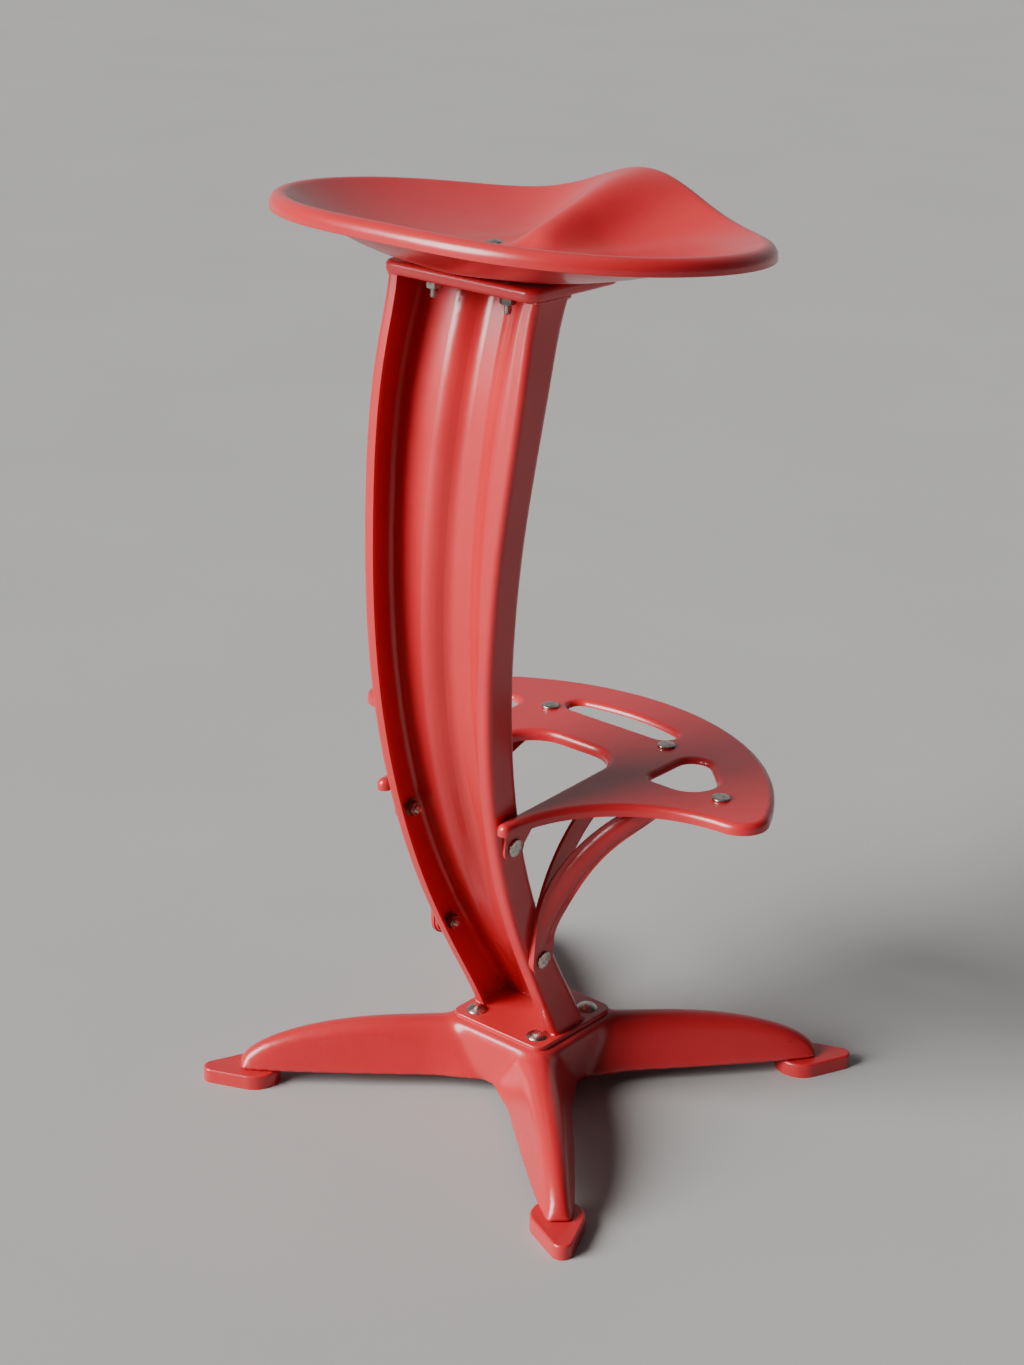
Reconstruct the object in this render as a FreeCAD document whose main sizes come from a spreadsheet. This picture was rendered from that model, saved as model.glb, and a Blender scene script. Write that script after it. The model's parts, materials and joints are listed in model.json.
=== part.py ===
import FreeCAD, Part
import Sketcher
import math
import os

Vector = FreeCAD.Vector
UP = Vector(0, 0, 1)

# Driving dimensions, in millimetres unless the name says degrees or power
DRIVING_SIZES = {
    "bolt_clearance": 0.3,
    "thread_clearance": 0.1,
    "arm_clearance": 0.4,
    # feet and base casting
    "foot_reach": 283,
    "pad_thickness": 13,
    "pad_length": 66,
    "pad_round": 22,
    "pad_tip_round": 9,
    "pad_edge_round": 2,
    "pad_screw_diameter": 6.3,
    "pad_screw_head": 12,
    "pad_screw_head_height": 4,
    "pad_screw_grip": 10,
    "hub_half": 57,
    "hub_top": 58.5,
    "hub_edge_round": 7,
    "casting_wall": 6,
    "leg_setback": 31,
    "leg_crown_drop": 1,
    "leg_crown_start": 112,
    "leg_root_half": 29.5,
    "leg_tip_half": 17,
    "leg_flare": 5.5,
    "leg_flare_length": 16,
    "leg_boss_length": 34,
    # base plate and its bolts
    "base_plate_side": 100,
    "base_plate_thickness": 4,
    "base_plate_corner": 10,
    "base_plate_edge": 1.2,
    "base_bolt_pitch": 67.2,
    "base_bolt_diameter": 8,
    "base_head_diameter": 19,
    "base_head_height": 4.4,
    "base_washer_diameter": 18,
    "base_washer_thickness": 1.6,
    "base_nut_flats": 13,
    "base_nut_height": 6.5,
    "base_bolt_tail": 3,
    # bowed column
    "sheet_thickness": 3,
    "column_foot_half": 45.5,
    "column_top_half": 74,
    "column_taper_height": 545,
    "bow_reach": 144,
    "bow_height": 455,
    "bow_lower_radius": 660,
    "bow_straight_below": 150,
    "bow_upper_radius": 1030,
    "flange_depth": 32.5,
    "flange_end_depth": 42,
    "lip_width": 10,
    "lip_bend": 4,
    "flange_bend": 6.5,
    "trough_width": 52,
    "trough_floor": 26,
    "trough_depth": 13,
    "trough_bend": 15,
    "trough_fade_low": 130,
    "trough_fade_high": 235,
    # cap plate and seat
    "cap_top": 722.5,
    "cap_thickness": 10.5,
    "cap_width": 151,
    "cap_depth": 106,
    "cap_corner": 12,
    "cap_edge": 4,
    "seat_centre": 64.5,
    "seat_sheet": 3,
    "seat_flat_radius": 58.5,
    "rim_radius": 172.4,
    "rim_front_swell": 26.8,
    "rim_side_swell": 21.8,
    "rim_rise": 31.6,
    "rim_rear_rise": 15.3,
    "rim_side_rise": 2.3,
    "pommel_rise": 33.5,
    "pommel_setback": 1.6,
    "pommel_spread_degrees": 21.7,
    "rim_roll": 9.5,
    "rim_drop": 3,
    "bowl_power": 1.73,
    "bowl_power_rear": 0.3,
    "bowl_power_side": 0.2,
    "bowl_power_pommel": 0.35,
    "seat_bolt_pitch_x": 73,
    "seat_bolt_pitch_y": 69.6,
    "small_bolt_diameter": 6.3,
    "small_head_diameter": 15.2,
    "small_head_height": 2.8,
    "small_washer_diameter": 15,
    "small_washer_thickness": 2.2,
    "small_nut_flats": 11.1,
    "small_nut_height": 5.6,
    "seat_bolt_tail": 7.5,
    "small_bolt_tail": 3.5,
    # footrest plate
    "footrest_top": 300,
    "footrest_sheet": 2.5,
    "footrest_lip": 9.5,
    "footrest_edge": 5.5,
    "opening_lip": 5,
    "footrest_rim_centre": 57,
    "footrest_rim_radius": 227,
    "wing_tip_round": 24,
    "arm_width": 11.7,
    "scoop_y": 120,
    "scoop_radius": 120,
    "cut_out_front": -48.6,
    "cut_out_front_half": 49,
    "cut_out_round": 34,
    "slot_margin": 43,
    "slot_depth": 27,
    "slot_round": 10.5,
    "eye_inner": 90,
    "eye_rear": -28,
    "eye_reach": 81,
    "eye_round": 22,
    "eye_front_round": 15,
    "eye_heel_round": 9,
    "arm_tab_half": 12,
    "arm_tab_spread": 20,
    "arm_bolt_setback": 16.8,
    "arm_bolt_drop": 29,
    # struts under the footrest
    "strut_thickness": 3,
    "strut_bolt_setback": 13.9,
    "strut_bolt_z": 153,
    "strut_tab_reach": 13,
    "inner_strut_width": 23,
    "inner_strut_top_width": 19,
    "inner_bolt_x": 63.2,
    "inner_bolt_y": -90.3,
    "inner_lower_handle": 70,
    "inner_upper_handle": 80,
    "outer_strut_width": 25,
    "outer_strut_top_width": 18,
    "outer_bolt_x": 159.9,
    "outer_bolt_y": -34.5,
    "outer_lower_handle": 58,
    "outer_upper_handle": 70,
    "rib_width": 16,
    "rib_height": 3.5,
}

doc = FreeCAD.newDocument("IndustrialStool")
sheet = doc.addObject("Spreadsheet::Sheet", "Sizes")
for row, (alias, value) in enumerate(DRIVING_SIZES.items(), start=1):
    sheet.set(f"A{row}", alias)
    sheet.set(f"B{row}", str(value))
    sheet.setAlias(f"B{row}", alias)
doc.recompute()

nodes = []


def size(alias):
    """A driving dimension, read from the sheet."""
    return float(sheet.get(alias))


def bind(target, **expressions):
    """Bind properties of an object to the sheet; a double underscore stands for a dot."""
    for name, expression in expressions.items():
        target.setExpression(name.replace("__", "."), expression)


def add_node(target, label):
    """Name a finished sub-part and keep it for export."""
    target.Label = label
    nodes.append(target)
    return target


def add_shape(label, shape):
    """Add a sub-part whose form comes from the functions below."""
    feature = doc.addObject("Part::Feature", label)
    feature.Shape = shape
    return add_node(feature, label)


def origin_plane(body, role):
    return next(plane for plane in body.Origin.OriginFeatures if plane.Role == role)


def add_sketch(body, name, role="XY_Plane"):
    sketch = body.newObject("Sketcher::SketchObject", name)
    sketch.AttachmentSupport = [(origin_plane(body, role), "")]
    sketch.MapMode = "FlatFace"
    return sketch


def constrain(sketch, name, expression, *arguments):
    """Add a dimension to a sketch and bind it to the sheet."""
    index = sketch.addConstraint(Sketcher.Constraint(*arguments, sheet.evalExpression(expression)))
    sketch.renameConstraint(index, name)
    sketch.setExpression(f"Constraints.{name}", expression)


def arc_by_angle(centre, radius, start, end):
    """An arc in a level plane from one angle to another, both in radians."""
    points = []
    for angle in (start, (start + end) / 2, end):
        points.append(centre + Vector(math.cos(angle), math.sin(angle), 0) * radius)
    return Part.Arc(*points).toShape()


def heading(vector):
    return math.atan2(vector.y, vector.x)


def line(start, end):
    return Part.LineSegment(start, end).toShape()


def smooth_step(value):
    value = min(max(value, 0.0), 1.0)
    return value * value * (3 - 2 * value)


def rounded_polygon(corners, radii):
    """A closed level outline of straight sides with a rounding at each corner."""
    joints = []
    count = len(corners)
    for index, corner in enumerate(corners):
        before = (corners[index - 1] - corner).normalize()
        after = (corners[(index + 1) % count] - corner).normalize()
        half = before.getAngle(after) / 2
        run = radii[index] / math.tan(half)
        middle = (before + after).normalize()
        centre = corner + middle * (radii[index] / math.sin(half))
        joints.append((corner + before * run, centre - middle * radii[index], corner + after * run))
    edges = []
    for index, (start, middle, end) in enumerate(joints):
        edges.append(Part.Arc(start, middle, end).toShape())
        edges.append(line(end, joints[(index + 1) % count][0]))
    return Part.Wire(edges)


def sheet_section(path, bends, thickness, height):
    """The closed outline of a bent sheet at one height, from the middle line of the sheet."""
    sides = {1: [], -1: []}
    for side, edges in sides.items():
        offset = side * thickness / 2
        lines = []
        for start, end in zip(path, path[1:]):
            along = (end - start).normalize()
            out = Vector(-along.y, along.x, 0) * offset
            lines.append((start + out, along))
        stops = [lines[0][0]]
        arcs = []
        for index, bend in enumerate(bends):
            here, along = lines[index]
            there, onward = lines[index + 1]
            cross = along.x * onward.y - along.y * onward.x
            gap = there - here
            reach = (gap.x * onward.y - gap.y * onward.x) / cross
            corner = here + along * reach
            half = along.getAngle(onward) / 2
            radius = bend - offset * math.copysign(1, cross)
            run = radius * math.tan(half)
            inward = (onward - along).normalize()
            middle = corner + inward * (radius / math.cos(half) - radius)
            arcs.append((corner - along * run, middle, corner + onward * run))
        last, along = lines[-1]
        stops.append(last + along * (path[-1] - path[-2]).Length)
        point = stops[0]
        for start, middle, end in arcs:
            edges.append(line(point, start))
            edges.append(Part.Arc(start, middle, end).toShape())
            point = end
        edges.append(line(point, stops[1]))
    first = [edge.Vertexes[0].Point for edge in (sides[1][0], sides[-1][0])]
    last = [edge.Vertexes[-1].Point for edge in (sides[1][-1], sides[-1][-1])]
    backward = list(reversed(sides[-1]))
    wire = Part.Wire(sides[1] + [line(last[0], last[1])] + backward + [line(first[1], first[0])])
    wire.translate(Vector(0, 0, height))
    return wire


# Fasteners, each made once at the origin with its seat at z = 0
def domed_bolt(name, diameter, head_diameter, head_height, length):
    """A round-headed bolt: a shallow dome on a plain shank."""
    dome = doc.addObject("Part::Sphere", f"{name}_dome")
    ball = f"(({head_diameter})^2/4 + ({head_height})^2)/(2*({head_height}))"
    bind(dome, Radius=ball, Angle1=f"asin(1 - ({head_height})/({ball}))")
    bind(dome, Placement__Base__z=f"({head_height}) - {ball}")
    shank = doc.addObject("Part::Cylinder", f"{name}_shank")
    bind(shank, Radius=f"({diameter})/2", Height=f"({length}) + ({head_height})/2")
    bind(shank, Placement__Base__z=f"-({length})")
    bolt = doc.addObject("Part::Fuse", name)
    bolt.Base = dome
    bolt.Tool = shank
    return bolt


def washer(name, diameter, bore, thickness):
    """A flat washer that hangs below its seat."""
    disc = doc.addObject("Part::Cylinder", f"{name}_disc")
    bind(disc, Radius=f"({diameter})/2", Height=thickness, Placement__Base__z=f"-({thickness})")
    hole = doc.addObject("Part::Cylinder", f"{name}_hole")
    bind(hole, Radius=f"({bore})/2 + Sizes.bolt_clearance", Height=f"3*({thickness})")
    bind(hole, Placement__Base__z=f"-2*({thickness})")
    ring = doc.addObject("Part::Cut", name)
    ring.Base = disc
    ring.Tool = hole
    return ring


def hexagon_nut(name, flats, bore, height):
    """A plain six-sided nut that hangs below its seat."""
    prism = doc.addObject("Part::Prism", f"{name}_prism")
    prism.Polygon = 6
    bind(prism, Circumradius=f"({flats})/2/cos(30 deg)", Height=height)
    bind(prism, Placement__Base__z=f"-({height})")
    hole = doc.addObject("Part::Cylinder", f"{name}_hole")
    bind(hole, Radius=f"({bore})/2 + Sizes.thread_clearance", Height=f"3*({height})")
    bind(hole, Placement__Base__z=f"-2*({height})")
    nut = doc.addObject("Part::Cut", name)
    nut.Base = prism
    nut.Tool = hole
    return nut


def add_group(label, master, places):
    """Copies of one fastener at several places, kept as separate solids of one sub-part."""
    copies = []
    for position, direction in places:
        copy = doc.addObject("App::Link", f"{label}_copy")
        copy.LinkedObject = master
        turn = FreeCAD.Rotation(UP, direction)
        copy.Placement = FreeCAD.Placement(position, turn)
        copies.append(copy)
    group = doc.addObject("Part::Compound", label)
    group.Links = copies
    return add_node(group, label)


def four_corners(pitch_x, pitch_y, centre_y, height):
    places = []
    for side_x in (1, -1):
        for side_y in (1, -1):
            spot = Vector(side_x * pitch_x / 2, centre_y + side_y * pitch_y / 2, height)
            places.append((spot, UP))
    return places


# Plates with rounded corners, made as padded sketches
def rounded_plate(label, width, depth, corner, thickness, edge, both_edges, holes):
    """A flat plate with rounded corners and edges, and four bolt holes."""
    body = doc.addObject("PartDesign::Body", label)
    sketch = add_sketch(body, f"{label}_outline")
    half_x = sheet.evalExpression(width) / 2
    half_y = sheet.evalExpression(depth) / 2
    radius = sheet.evalExpression(corner)
    inner_x = half_x - radius
    inner_y = half_y - radius
    ends = [
        ((-inner_x, -half_y), (inner_x, -half_y)),
        ((half_x, -inner_y), (half_x, inner_y)),
        ((inner_x, half_y), (-inner_x, half_y)),
        ((-half_x, inner_y), (-half_x, -inner_y)),
    ]
    for start, end in ends:
        sketch.addGeometry(Part.LineSegment(Vector(*start), Vector(*end)))
    centres = [(inner_x, -inner_y), (inner_x, inner_y), (-inner_x, inner_y), (-inner_x, -inner_y)]
    for quarter, centre in enumerate(centres):
        circle = Part.Circle(Vector(*centre), UP, radius)
        start = (quarter - 1) * math.pi / 2
        sketch.addGeometry(Part.ArcOfCircle(circle, start, start + math.pi / 2))
    for side in range(4):
        sketch.addConstraint(Sketcher.Constraint("Tangent", side, 2, side + 4, 1))
        sketch.addConstraint(Sketcher.Constraint("Tangent", side + 4, 2, (side + 1) % 4, 1))
    sketch.addConstraint(Sketcher.Constraint("Horizontal", 0))
    sketch.addConstraint(Sketcher.Constraint("Vertical", 1))
    for arc in (5, 6, 7):
        sketch.addConstraint(Sketcher.Constraint("Equal", 4, arc))
    sketch.addConstraint(Sketcher.Constraint("Symmetric", 0, 1, 2, 1, -1, 1))
    constrain(sketch, "corner", corner, "Radius", 4)
    constrain(sketch, "width", width, "DistanceX", 3, 1, 1, 1)
    constrain(sketch, "depth", depth, "DistanceY", 0, 1, 2, 1)
    pad = body.newObject("PartDesign::Pad", f"{label}_pad")
    pad.Profile = sketch
    bind(pad, Length=thickness)
    doc.recompute()
    levels = [pad.Shape.BoundBox.ZMax]
    if both_edges:
        levels.append(pad.Shape.BoundBox.ZMin)
    names = []
    for index, face in enumerate(pad.Shape.Faces, start=1):
        flat = face.BoundBox.ZLength < 1e-6
        if flat and any(abs(face.BoundBox.ZMin - level) < 1e-6 for level in levels):
            names.append(f"Face{index}")
    rounding = body.newObject("PartDesign::Fillet", f"{label}_edge")
    rounding.Base = (pad, names)
    bind(rounding, Radius=edge)
    doc.recompute()
    drilled = add_sketch(body, f"{label}_holes")
    pitch_x, pitch_y, hole = holes
    for index in range(4):
        side_x = 1 if index < 2 else -1
        side_y = 1 if index % 2 else -1
        x = side_x * sheet.evalExpression(pitch_x) / 2
        y = side_y * sheet.evalExpression(pitch_y) / 2
        drilled.addGeometry(Part.Circle(Vector(x, y), UP, sheet.evalExpression(hole) / 2))
        across = (-1, 1, index, 3) if side_x > 0 else (index, 3, -1, 1)
        along = (-1, 1, index, 3) if side_y > 0 else (index, 3, -1, 1)
        constrain(drilled, f"across{index}", f"({pitch_x})/2", "DistanceX", *across)
        constrain(drilled, f"along{index}", f"({pitch_y})/2", "DistanceY", *along)
        constrain(drilled, f"hole{index}", hole, "Diameter", index)
    pocket = body.newObject("PartDesign::Pocket", f"{label}_drilled")
    pocket.Profile = drilled
    pocket.Type = "ThroughAll"
    pocket.Reversed = True
    doc.recompute()
    if pocket.Shape.Volume >= rounding.Shape.Volume:
        raise ValueError(f"the holes of {label} cut nothing")
    return add_node(body, label)


# Foot pads
def screw_reach():
    """How far from the middle the screw of a pad stands: the middle of the pad's round end."""
    return size("foot_reach") - size("pad_length") + size("pad_round")


def foot_pad(label, turn_degrees):
    """A teardrop pad under the end of one leg, with a counterbored hole for its screw."""
    body = doc.addObject("PartDesign::Body", label)
    sketch = add_sketch(body, f"{label}_outline")
    big = size("pad_round")
    tip = size("pad_tip_round")
    tip_x = size("foot_reach") - tip
    big_x = screw_reach()
    lean = math.acos((big - tip) / (tip_x - big_x))
    across = Vector(math.cos(lean), math.sin(lean))
    low = Vector(across.x, -across.y)
    big_centre = Vector(big_x, 0)
    tip_centre = Vector(tip_x, 0)
    sketch.addGeometry(Part.ArcOfCircle(Part.Circle(big_centre, UP, big), lean, 2 * math.pi - lean))
    sketch.addGeometry(Part.LineSegment(big_centre + low * big, tip_centre + low * tip))
    sketch.addGeometry(Part.ArcOfCircle(Part.Circle(tip_centre, UP, tip), -lean, lean))
    sketch.addGeometry(Part.LineSegment(tip_centre + across * tip, big_centre + across * big))
    for first, second in ((0, 1), (1, 2), (2, 3), (3, 0)):
        sketch.addConstraint(Sketcher.Constraint("Tangent", first, 2, second, 1))
    for arc in (0, 2):
        sketch.addConstraint(Sketcher.Constraint("PointOnObject", arc, 3, -1))
    constrain(sketch, "round", "Sizes.pad_round", "Radius", 0)
    constrain(sketch, "tip", "Sizes.pad_tip_round", "Radius", 2)
    reach = "Sizes.foot_reach - Sizes.pad_tip_round"
    constrain(sketch, "reach", reach, "DistanceX", -1, 1, 2, 3)
    heel = "Sizes.foot_reach - Sizes.pad_length + Sizes.pad_round"
    constrain(sketch, "heel", heel, "DistanceX", -1, 1, 0, 3)
    pad = body.newObject("PartDesign::Pad", f"{label}_pad")
    pad.Profile = sketch
    bind(pad, Length="Sizes.pad_thickness")
    doc.recompute()
    top = pad.Shape.BoundBox.ZMax
    faces = [f"Face{i}" for i, face in enumerate(pad.Shape.Faces, 1) if face.BoundBox.ZMin > top - 1e-6]
    rounding = body.newObject("PartDesign::Fillet", f"{label}_edge")
    rounding.Base = (pad, faces)
    bind(rounding, Radius="Sizes.pad_edge_round")
    solid = rounding
    drillings = (
        ("shank", "Sizes.pad_screw_diameter + 2*Sizes.bolt_clearance", None),
        ("head", "Sizes.pad_screw_head + 2*Sizes.bolt_clearance", "Sizes.pad_screw_head_height + 1"),
    )
    for name, diameter, depth in drillings:
        doc.recompute()
        circle = add_sketch(body, f"{label}_{name}_hole")
        radius = sheet.evalExpression(diameter) / 2
        circle.addGeometry(Part.Circle(big_centre, UP, radius))
        circle.addConstraint(Sketcher.Constraint("PointOnObject", 0, 3, -1))
        constrain(circle, "reach", heel, "DistanceX", -1, 1, 0, 3)
        constrain(circle, "bore", diameter, "Diameter", 0)
        pocket = body.newObject("PartDesign::Pocket", f"{label}_{name}")
        pocket.Profile = circle
        pocket.Reversed = True
        if depth is None:
            pocket.Type = "ThroughAll"
        else:
            bind(pocket, Length=depth)
        doc.recompute()
        if pocket.Shape.Volume >= solid.Shape.Volume:
            raise ValueError(f"the {name} hole of {label} cuts nothing")
        solid = pocket
    body.Placement = FreeCAD.Placement(Vector(), FreeCAD.Rotation(UP, turn_degrees))
    return add_node(body, label)


# Base casting
def leg_section(reach, half, crown, floor):
    """An upturned U across a leg: a flat foot line, leaning sides and a round crown."""
    rise = crown - floor
    shoulder_half = half * 0.6
    shoulder = floor + rise * 0.72
    points = [
        Vector(reach, -half, floor),
        Vector(reach, -shoulder_half, shoulder),
        Vector(reach, 0, crown),
        Vector(reach, shoulder_half, shoulder),
        Vector(reach, half, floor),
    ]
    edges = [
        line(points[0], points[1]),
        Part.Arc(points[1], points[2], points[3]).toShape(),
        line(points[3], points[4]),
        line(points[4], points[0]),
    ]
    return Part.Wire(edges)


def leg_end():
    return size("foot_reach") - size("leg_setback")


def leg_solid(wall, end):
    """One leg along +X as a loft, drawn in by the wall for its hollow."""
    floor = size("pad_thickness")
    start = size("leg_crown_start")
    finish = leg_end()
    sweep = finish - start
    root = size("hub_half")
    sections = []
    stations = [0, 0.5 * root, root, 0.5 * (root + start)]
    for degrees in (0, 22, 42, 58, 70, 80, 86):
        stations.append(start + sweep * math.sin(math.radians(degrees)))
    for reach in stations:
        if reach > end:
            break
        round_off = math.sqrt(max(1 - (max(reach - start, 0) / sweep) ** 2, 0))
        crown = floor + (size("hub_top") - size("leg_crown_drop") - floor) * round_off
        share = max(reach - root, 0) / (finish - root)
        half = size("leg_root_half") + (size("leg_tip_half") - size("leg_root_half")) * share
        half += size("leg_flare") * math.exp(-max(reach - root, 0) / size("leg_flare_length"))
        half *= 0.35 + 0.65 * math.sqrt(round_off)
        bottom = floor - 1 if wall else floor
        sections.append(leg_section(reach, half - wall, crown - wall, bottom))
    return Part.makeLoft(sections, True, False)


def hub_solid(half, top, floor, rounding):
    """The square hub between the legs, with rounded edges."""
    block = Part.makeBox(2 * half, 2 * half, top - floor, Vector(-half, -half, floor))
    edges = [edge for edge in block.Edges if edge.BoundBox.ZMax > floor + 1]
    return block.makeFillet(rounding, edges)


def base_casting():
    """Four hollow legs on a square hub, cast in one piece."""
    wall = size("casting_wall")
    floor = size("pad_thickness")
    outer = hub_solid(size("hub_half"), size("hub_top"), floor, size("hub_edge_round"))
    hollow = hub_solid(size("hub_half") - wall, size("hub_top") - wall, floor - 1, 2)
    leg = leg_solid(0, leg_end())
    inside = leg_solid(wall, leg_end() - size("leg_boss_length"))
    for quarter in range(4):
        turn = 45 + 90 * quarter
        outer = outer.fuse(leg.rotated(Vector(), UP, turn))
    casting = outer.cut(hollow)
    for quarter in range(4):
        casting = casting.cut(inside.rotated(Vector(), UP, 45 + 90 * quarter))
    pitch = size("base_bolt_pitch")
    for position, _ in four_corners(pitch, pitch, 0, 0):
        radius = size("base_bolt_diameter") / 2 + size("bolt_clearance")
        casting = casting.cut(Part.makeCylinder(radius, size("hub_top") + wall, position))
    for quarter in range(4):
        radius = size("pad_screw_diameter") / 2 + size("thread_clearance")
        depth = size("pad_screw_grip") + 2
        hole = Part.makeCylinder(radius, depth, Vector(screw_reach(), 0, floor))
        casting = casting.cut(hole.rotated(Vector(), UP, 45 + 90 * quarter))
    return casting


# Bowed column
def plate_top():
    return size("hub_top") + size("base_plate_thickness")


def cap_bottom():
    return size("cap_top") - size("cap_thickness")


def column_half(height):
    """Half the width over the flanges at a height."""
    share = min((height - plate_top()) / size("column_taper_height"), 1)
    return size("column_foot_half") + (size("column_top_half") - size("column_foot_half")) * share


def flange_slope():
    return (size("column_top_half") - size("column_foot_half")) / size("column_taper_height")


def column_rear(height):
    """How far back the open edge of the column stands at a height."""
    rise = height - size("bow_height")
    if rise >= 0:
        radius = size("bow_upper_radius")
        return size("bow_reach") - radius + math.sqrt(radius**2 - rise**2)
    radius = size("bow_lower_radius")
    lowest = size("bow_straight_below") - size("bow_height")
    arc = max(rise, lowest)
    back = size("bow_reach") - radius + math.sqrt(radius**2 - arc**2)
    slope = -lowest / math.sqrt(radius**2 - lowest**2)
    return back - slope * (arc - rise)


def column_depth(height):
    """Depth of the side flanges, greater at the two ends."""
    middle = (plate_top() + cap_bottom()) / 2
    share = abs(height - middle) / (cap_bottom() - middle)
    return size("flange_depth") + (size("flange_end_depth") - size("flange_depth")) * share**3


def column_section(height):
    thickness = size("sheet_thickness")
    half = column_half(height) - thickness / 2
    back = column_rear(height) - thickness / 2
    front = column_rear(height) - column_depth(height) + thickness / 2
    fade = (height - size("trough_fade_low")) / (size("trough_fade_high") - size("trough_fade_low"))
    floor = front - max(size("trough_depth") * smooth_step(fade), 0.6)
    left = [
        Vector(half - size("lip_width"), back),
        Vector(half, back),
        Vector(half, front),
        Vector(size("trough_width") / 2, front),
        Vector(size("trough_floor") / 2, floor),
    ]
    right = [Vector(-point.x, point.y) for point in reversed(left)]
    bends = [size("lip_bend"), size("flange_bend"), size("trough_bend"), size("trough_bend")]
    return sheet_section(left + right, bends + bends[::-1], thickness, height)


def bowed_column():
    """A lipped channel of pressed sheet with a stiffening trough, bowed to the rear."""
    low = plate_top()
    high = cap_bottom()
    knee = low + size("column_taper_height")
    bow = size("bow_height")
    fade = size("trough_fade_high")
    marks = [low, size("trough_fade_low"), size("bow_straight_below"), fade]
    marks += [(2 * fade + bow) / 3, (fade + 2 * bow) / 3, bow, (bow + knee) / 2, knee]
    marks += [(knee + high) / 2, high]
    sections = [column_section(height) for height in sorted(marks)]
    column = Part.makeLoft(sections, True, False)
    radius = size("small_bolt_diameter") / 2 + size("bolt_clearance")
    for bolt_y, bolt_z in flange_bolts():
        drill = Part.makeCylinder(radius, 400, Vector(-200, bolt_y, bolt_z), Vector(1, 0, 0))
        column = column.cut(drill)
    return column


def flange_bolts():
    """Where the arms of the footrest and the struts are bolted to the sides, as y and z."""
    arm_z = size("footrest_top") - size("arm_bolt_drop")
    strut_z = size("strut_bolt_z")
    arm = (column_rear(arm_z) - size("arm_bolt_setback"), arm_z)
    joint = (column_rear(strut_z) - size("strut_bolt_setback"), strut_z)
    return arm, joint


def flange_frame(side, bolt_y, bolt_z, stand_off):
    """A point on a side flange, its outward direction and the direction up along it."""
    slope = flange_slope()
    out = Vector(side, 0, -slope).normalize()
    along = Vector(side * slope, 0, 1).normalize()
    return Vector(side * column_half(bolt_z), bolt_y, bolt_z) + out * stand_off, out, along


# Seat pan
def rim_point(angle):
    """Crest of the rim at an angle from the rear: radius, height above the flat, and how
    the bowl climbs to it."""
    ahead = abs(angle) - math.pi
    pommel = math.exp(-((ahead / math.radians(size("pommel_spread_degrees"))) ** 2))
    radius = size("rim_radius")
    radius -= size("rim_front_swell") * math.cos(angle)
    radius -= size("rim_side_swell") * math.cos(2 * angle)
    radius -= size("pommel_setback") * pommel
    rise = size("rim_rise") + size("rim_rear_rise") * math.cos(angle)
    rise += size("pommel_rise") * pommel - size("rim_side_rise") * math.cos(2 * angle)
    power = size("bowl_power") - size("bowl_power_rear") * math.cos(angle)
    power -= size("bowl_power_side") * math.cos(2 * angle) + size("bowl_power_pommel") * pommel
    return radius, rise, power


def seat_section(angle):
    """One radial cut through the seat sheet: flat, bowl, rolled rim and turned-down edge."""
    thick = size("seat_sheet")
    roll = size("rim_roll")
    flat = size("seat_flat_radius")
    top = size("cap_top") + thick
    radius, rise, power = rim_point(angle)
    centre = Vector(radius, top + rise - roll)
    slope = math.atan(power * rise / (radius - flat))
    run = radius - roll * math.sin(slope) - flat
    climb = rise - roll * (1 - math.cos(slope))
    upper = []
    lower = []
    for step in range(7):
        share = step / 6
        lean = math.atan(power * climb / run * share ** (power - 1))
        if step == 6:
            lean = slope
        point = Vector(flat + run * share, top + climb * share**power)
        upper.append(point)
        lower.append(point - Vector(-math.sin(lean), math.cos(lean)) * thick)
    shoulder = (math.pi / 2 + slope) / 2
    crest = Vector(math.cos(shoulder), math.sin(shoulder))
    edge_low = centre + Vector(roll, -size("rim_drop"))
    inner = roll - thick
    outline = [
        (upper[0] - Vector(10, 0), upper[0]),
        upper,
        (upper[-1], centre + crest * roll, centre + Vector(roll, 0)),
        (centre + Vector(roll, 0), edge_low),
        (edge_low, edge_low - Vector(thick, 0)),
        (edge_low - Vector(thick, 0), centre + Vector(inner, 0)),
        (centre + Vector(inner, 0), centre + crest * inner, lower[-1]),
        lower[::-1],
        (lower[0], lower[0] - Vector(10, 0)),
        (lower[0] - Vector(10, 0), upper[0] - Vector(10, 0)),
    ]
    edges = []
    for stretch in outline:
        points = []
        for point in stretch:
            points.append(Vector(point.x * math.sin(angle), point.x * math.cos(angle), point.y))
        if len(points) == 2:
            edges.append(line(*points))
        elif len(points) == 3:
            edges.append(Part.Arc(*points).toShape())
        else:
            curve = Part.BSplineCurve()
            curve.interpolate(points)
            edges.append(curve.toShape())
    return Part.Wire(edges)


def seat_pan():
    """A pressed saddle: a bowl with a rolled rim, a high rear and a pommel in front."""
    count = 24
    sections = [seat_section(2 * math.pi * index / count - math.pi) for index in range(count)]
    pan = Part.makeLoft(sections + sections[:1], True, False, False)
    disc_radius = size("seat_flat_radius") - 4
    under = size("cap_top")
    pan = pan.cut(Part.makeCylinder(disc_radius, 3 * size("seat_sheet"), Vector(0, 0, under - 3)))
    pan = pan.fuse(Part.makeCylinder(disc_radius, size("seat_sheet"), Vector(0, 0, under)))
    pan.translate(Vector(0, size("seat_centre"), 0))
    places = four_corners(size("seat_bolt_pitch_x"), size("seat_bolt_pitch_y"), size("seat_centre"), under)
    for position, _ in places:
        radius = size("small_bolt_diameter") / 2 + size("bolt_clearance")
        pan = pan.cut(Part.makeCylinder(radius, 4 * size("seat_sheet"), position - UP * 3))
    return pan


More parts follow.
